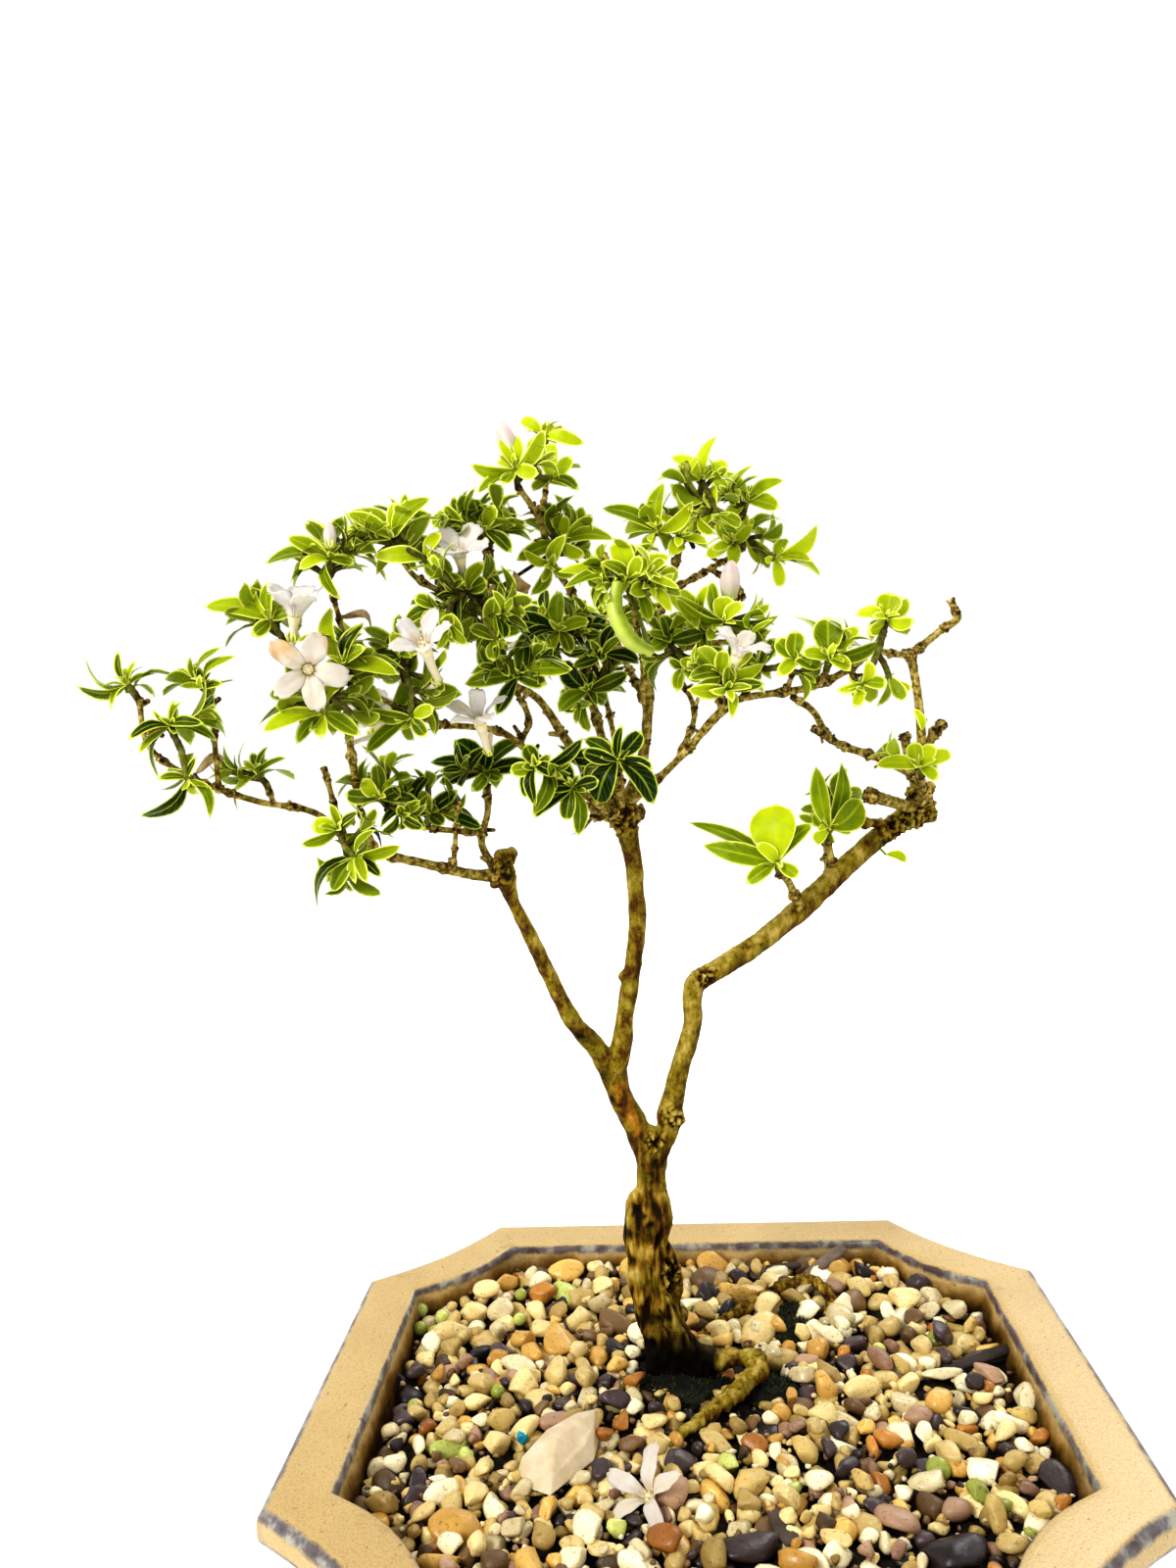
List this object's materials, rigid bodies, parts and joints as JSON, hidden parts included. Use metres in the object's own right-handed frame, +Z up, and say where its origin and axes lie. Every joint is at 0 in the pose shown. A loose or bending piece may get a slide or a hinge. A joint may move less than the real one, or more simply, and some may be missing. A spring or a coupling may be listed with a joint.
{
  "type": "serissa bonsai",
  "caption": "Small bonsai tree with forked, twisted stems, tiny variegated leaves and white trumpet flowers, in a cut-corner glazed pot dressed with pebbles.",
  "frame": {"origin": "middle of the whole object's box in X and Y, on the surface that the pot's feet stand on", "axes": "+Z up; +X to the right and +Y away, seen from the side where the longest branch points left"},
  "size_m": [0.1724, 0.132, 0.2399],
  "materials": {
    "glaze": "speckled tan glaze that breaks to blue-grey at the edges",
    "drain_net": "matt",
    "soil": "dark, damp",
    "pebbles": "worn, satin",
    "quartz": "clear, polished",
    "bark": "rough, fissured",
    "leaf": "satin with a pale margin",
    "petal": "soft, matt",
    "bud": "soft, matt",
    "rolled_leaf": "satin"
  },
  "bodies": {
    "root": {"pot": "glaze", "drain_mesh_left": "drain_net", "drain_mesh_right": "drain_net", "soil": "soil", "gravel": "pebbles", "quartz_shard": "quartz", "fallen_flower": "petal", "wood": "bark", "rolled_leaf": "rolled_leaf", "bloom_left": "petal", "bloom_left_high": "petal", "bloom_inner": "petal", "bloom_crown": "petal", "bloom_right": "petal", "bloom_window": "petal", "bloom_back": "petal", "bloom_low": "petal", "bud_left": "bud", "bud_top": "bud", "bud_right": "bud", "spray_tip_left": "leaf", "spray_low_left": "leaf", "spray_up_left": "leaf", "spray_mid_left": "leaf", "spray_far_left": "leaf", "spray_high_left": "leaf", "spray_fill_left": "leaf", "spray_sprig_left": "leaf", "spray_shoulder_left": "leaf", "spray_crown_left": "leaf", "spray_inner_left": "leaf", "spray_top_a": "leaf", "spray_top_b": "leaf", "spray_top_d": "leaf", "spray_centre": "leaf", "spray_right_top": "leaf", "spray_crest": "leaf", "spray_fan_right": "leaf", "spray_fan_low": "leaf", "spray_side_right": "leaf", "spray_under_leaf": "leaf", "spray_branch_a": "leaf", "spray_branch_b": "leaf", "spray_branch_c": "leaf", "spray_branch_end": "leaf", "spray_heart_left": "leaf", "spray_heart_low": "leaf", "spray_heart_mid": "leaf", "spray_node_front": "leaf", "spray_node_left": "leaf", "spray_window": "leaf", "spray_window_left": "leaf", "spray_knot_left": "leaf", "spray_low_cluster": "leaf", "spray_fork_right": "leaf", "spray_fork_mid": "leaf", "spray_fork_end": "leaf", "spray_hang": "leaf", "spray_far_side": "leaf", "spray_far_right": "leaf"}
  },
  "joints": []
}
